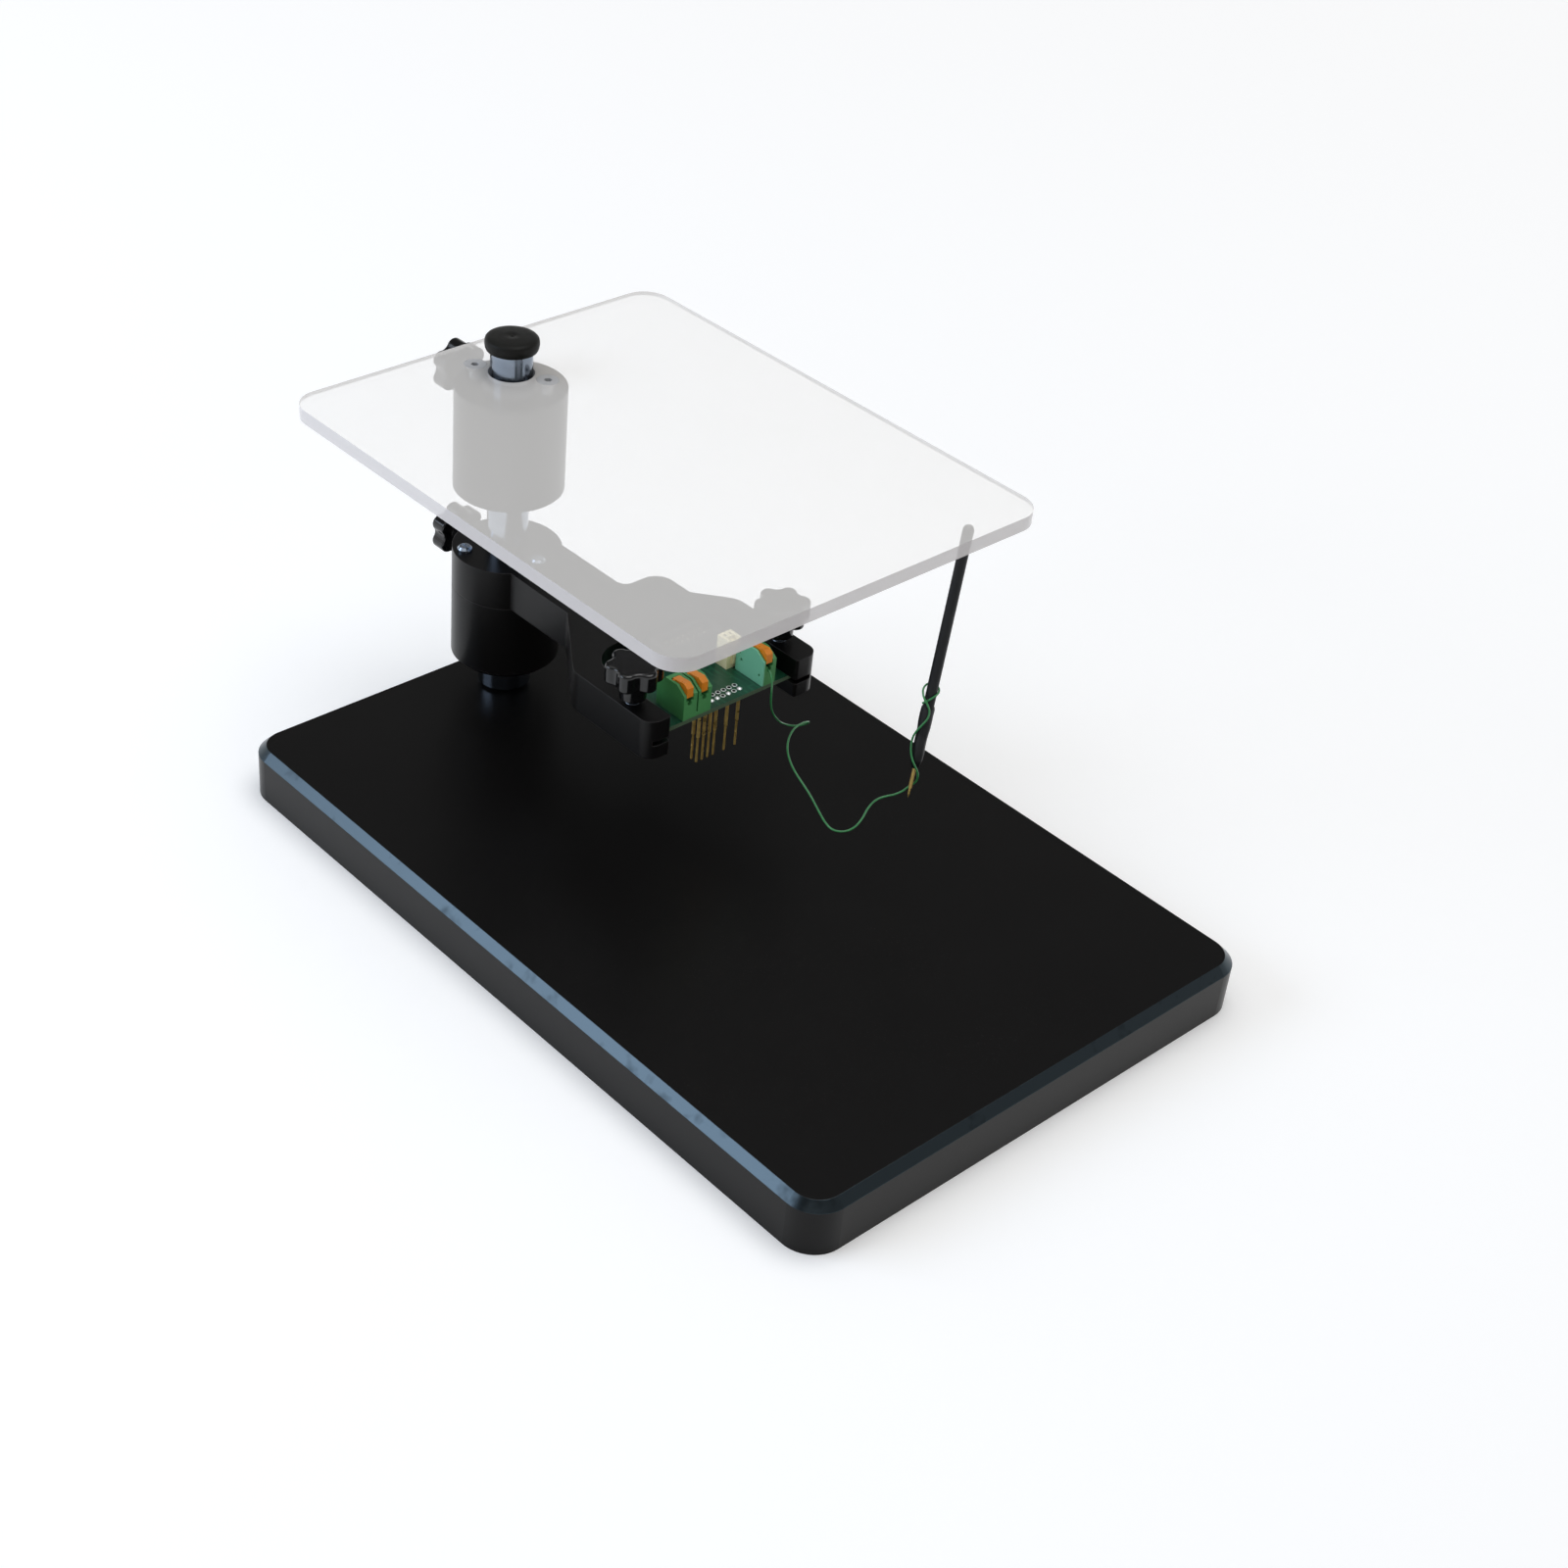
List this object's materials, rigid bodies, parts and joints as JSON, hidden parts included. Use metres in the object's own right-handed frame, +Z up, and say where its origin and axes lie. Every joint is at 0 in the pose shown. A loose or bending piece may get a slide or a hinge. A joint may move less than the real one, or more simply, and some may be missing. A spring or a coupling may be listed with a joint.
{
  "type": "ecu positioning frame",
  "caption": "Bench frame: thick base plate, column with clamped sliding hubs, forked arm with a spring-pin adapter board, clear plate above, and a sprung needle probe on a thin wire",
  "frame": {"origin": "middle of the base plate's underside", "axes": "+Z up, +X along the base plate's long side away from the column, +Y to the far long side"},
  "size_m": [0.3113, 0.2, 0.1614],
  "materials": {
    "anodised_base": "satin black anodised",
    "anodised_arm": "satin black anodised",
    "anodised_hub": "satin black anodised",
    "steel_column": "ground and polished",
    "chromed_ring": "polished",
    "steel_screw": "plain",
    "steel_stud": "plain",
    "cap_plastic": "satin",
    "bush_plastic": "plain",
    "knob_plastic": "moulded, semi-gloss",
    "clear_acrylic": "clear acrylic sheet, slightly milky",
    "circuit_board": "green solder resist on glass laminate",
    "terminal_plastic": "moulded",
    "cover_plastic": "moulded, pale",
    "lever_plastic": "moulded",
    "cream_plastic": "moulded",
    "header_plastic": "moulded",
    "gold_pins": "gold plated",
    "probe_plastic": "satin",
    "shrunk_sleeve": "heat-shrunk",
    "wire_green": "insulated wire"
  },
  "bodies": {
    "base": {"base_plate": "anodised_base", "column": "steel_column", "column_screw": "steel_screw", "foot_ring": "chromed_ring", "column_cap": "cap_plastic"},
    "arm_carrier": {"arm_bush": "bush_plastic"},
    "arm": {"arm": "anodised_arm", "arm_collar": "anodised_hub", "arm_screws": "steel_screw", "adapter_board": "circuit_board", "double_terminal": "terminal_plastic", "single_terminal": "terminal_plastic", "terminal_cover": "cover_plastic", "plug_housing": "cream_plastic", "box_header": "header_plastic", "header_pins": "gold_pins", "pin_barrels": "gold_pins", "lead_wire": "wire_green"},
    "arm_clamp_stud": {"arm_stud": "steel_stud"},
    "arm_clamp_knob": {"arm_knob": "knob_plastic"},
    "near_clamp_stud": {"near_wing_stud": "steel_stud"},
    "near_clamp_knob": {"near_wing_knob": "knob_plastic"},
    "far_clamp_stud": {"far_wing_stud": "steel_stud"},
    "far_clamp_knob": {"far_wing_knob": "knob_plastic"},
    "lever_a": {"lever_one": "lever_plastic"},
    "lever_b": {"lever_two": "lever_plastic"},
    "lever_c": {"lever_three": "lever_plastic"},
    "plate_carrier": {"hub_bush": "bush_plastic"},
    "plate": {"plate_hub": "anodised_hub", "clear_plate": "clear_acrylic", "plate_screws": "steel_screw"},
    "hub_clamp_stud": {"hub_stud": "steel_stud"},
    "hub_clamp_knob": {"hub_knob": "knob_plastic"},
    "probe": {"probe_rod": "probe_plastic", "probe_sleeve": "shrunk_sleeve", "needle_barrel": "gold_pins", "probe_wire": "wire_green"},
    "needle": {"probe_needle": "gold_pins"},
    "pin_1": {"contact_pin_1": "gold_pins"},
    "pin_2": {"contact_pin_2": "gold_pins"},
    "pin_3": {"contact_pin_3": "gold_pins"},
    "pin_4": {"contact_pin_4": "gold_pins"},
    "pin_5": {"contact_pin_5": "gold_pins"},
    "pin_6": {"contact_pin_6": "gold_pins"},
    "pin_7": {"contact_pin_7": "gold_pins"},
    "pin_8": {"contact_pin_8": "gold_pins"}
  },
  "joints": [
    {"name": "arm_lift", "type": "slide", "parent": "base", "child": "arm_carrier", "axis": [0, 0, 1], "range_m": [-0.004, 0.02]},
    {"name": "arm_swivel", "type": "hinge", "parent": "arm_carrier", "child": "arm", "pos_m": [-0.1275, 0, 0.063], "axis": [0, 0, 1], "range_deg": [-180, 180]},
    {"name": "plate_lift", "type": "slide", "parent": "base", "child": "plate_carrier", "axis": [0, 0, 1], "range_m": [-0.02, 0.006]},
    {"name": "plate_swivel", "type": "hinge", "parent": "plate_carrier", "child": "plate", "pos_m": [-0.1275, 0, 0.1425], "axis": [0, 0, 1], "range_deg": [-180, 180]},
    {"name": "arm_clamp_turn", "type": "hinge", "parent": "arm_clamp_stud", "child": "arm_clamp_knob", "pos_m": [-0.1475, 0, 0.0705], "axis": [-1, 0, 0], "range_deg": [0, 360]},
    {"name": "arm_clamp_travel", "type": "slide", "parent": "arm", "child": "arm_clamp_stud", "axis": [-1, 0, 0], "range_m": [0, 0.0008]},
    {"name": "hub_clamp_turn", "type": "hinge", "parent": "hub_clamp_stud", "child": "hub_clamp_knob", "pos_m": [-0.1475, 0, 0.137], "axis": [-1, 0, 0], "range_deg": [0, 360]},
    {"name": "hub_clamp_travel", "type": "slide", "parent": "plate", "child": "hub_clamp_stud", "axis": [-1, 0, 0], "range_m": [0, 0.0008]},
    {"name": "near_clamp_turn", "type": "hinge", "parent": "near_clamp_stud", "child": "near_clamp_knob", "pos_m": [-0.0235, -0.0278, 0.078], "axis": [0, 0, 1], "range_deg": [0, 360]},
    {"name": "near_clamp_travel", "type": "slide", "parent": "arm", "child": "near_clamp_stud", "axis": [0, 0, 1], "range_m": [0, 0.0008]},
    {"name": "far_clamp_turn", "type": "hinge", "parent": "far_clamp_stud", "child": "far_clamp_knob", "pos_m": [-0.0235, 0.0388, 0.078], "axis": [0, 0, 1], "range_deg": [0, 360]},
    {"name": "far_clamp_travel", "type": "slide", "parent": "arm", "child": "far_clamp_stud", "axis": [0, 0, 1], "range_m": [0, 0.0008]},
    {"name": "lever_a_press", "type": "hinge", "parent": "arm", "child": "lever_a", "pos_m": [-0.0202, -0.0114, 0.0821], "axis": [0, 1, 0], "range_deg": [0, 8], "stiffness_Nm_per_rad": 0.05},
    {"name": "lever_b_press", "type": "hinge", "parent": "arm", "child": "lever_b", "pos_m": [-0.0202, -0.0049, 0.0821], "axis": [0, 1, 0], "range_deg": [0, 8], "stiffness_Nm_per_rad": 0.05},
    {"name": "lever_c_press", "type": "hinge", "parent": "arm", "child": "lever_c", "pos_m": [-0.0202, 0.0246, 0.0821], "axis": [0, 1, 0], "range_deg": [0, 8], "stiffness_Nm_per_rad": 0.05},
    {"name": "pin_1_press", "type": "slide", "parent": "arm", "child": "pin_1", "axis": [0, 0, 1], "range_m": [0, 0.003], "stiffness_N_per_m": 200},
    {"name": "pin_2_press", "type": "slide", "parent": "arm", "child": "pin_2", "axis": [0, 0, 1], "range_m": [0, 0.003], "stiffness_N_per_m": 200},
    {"name": "pin_3_press", "type": "slide", "parent": "arm", "child": "pin_3", "axis": [0, 0, 1], "range_m": [0, 0.003], "stiffness_N_per_m": 200},
    {"name": "pin_4_press", "type": "slide", "parent": "arm", "child": "pin_4", "axis": [0, 0, 1], "range_m": [0, 0.003], "stiffness_N_per_m": 200},
    {"name": "pin_5_press", "type": "slide", "parent": "arm", "child": "pin_5", "axis": [0, 0, 1], "range_m": [0, 0.003], "stiffness_N_per_m": 200},
    {"name": "pin_6_press", "type": "slide", "parent": "arm", "child": "pin_6", "axis": [0, 0, 1], "range_m": [0, 0.003], "stiffness_N_per_m": 200},
    {"name": "pin_7_press", "type": "slide", "parent": "arm", "child": "pin_7", "axis": [0, 0, 1], "range_m": [0, 0.003], "stiffness_N_per_m": 200},
    {"name": "pin_8_press", "type": "slide", "parent": "arm", "child": "pin_8", "axis": [0, 0, 1], "range_m": [0, 0.003], "stiffness_N_per_m": 200},
    {"name": "probe_tilt", "type": "hinge", "parent": "plate", "child": "probe", "pos_m": [0.0346, 0.0617, 0.1416], "axis": [0.9346, 0.3557, 0], "range_deg": [-4, 18]},
    {"name": "needle_press", "type": "slide", "parent": "probe", "child": "needle", "axis": [-0.0676, 0.1945, 0.9786], "range_m": [0, 0.0025], "stiffness_N_per_m": 200}
  ],
  "couplings": [
    {"joint": "arm_clamp_turn", "follows": "arm_clamp_travel", "rad_per_m": 7854},
    {"joint": "hub_clamp_turn", "follows": "hub_clamp_travel", "rad_per_m": 7854},
    {"joint": "near_clamp_turn", "follows": "near_clamp_travel", "rad_per_m": 7854},
    {"joint": "far_clamp_turn", "follows": "far_clamp_travel", "rad_per_m": 7854}
  ]
}
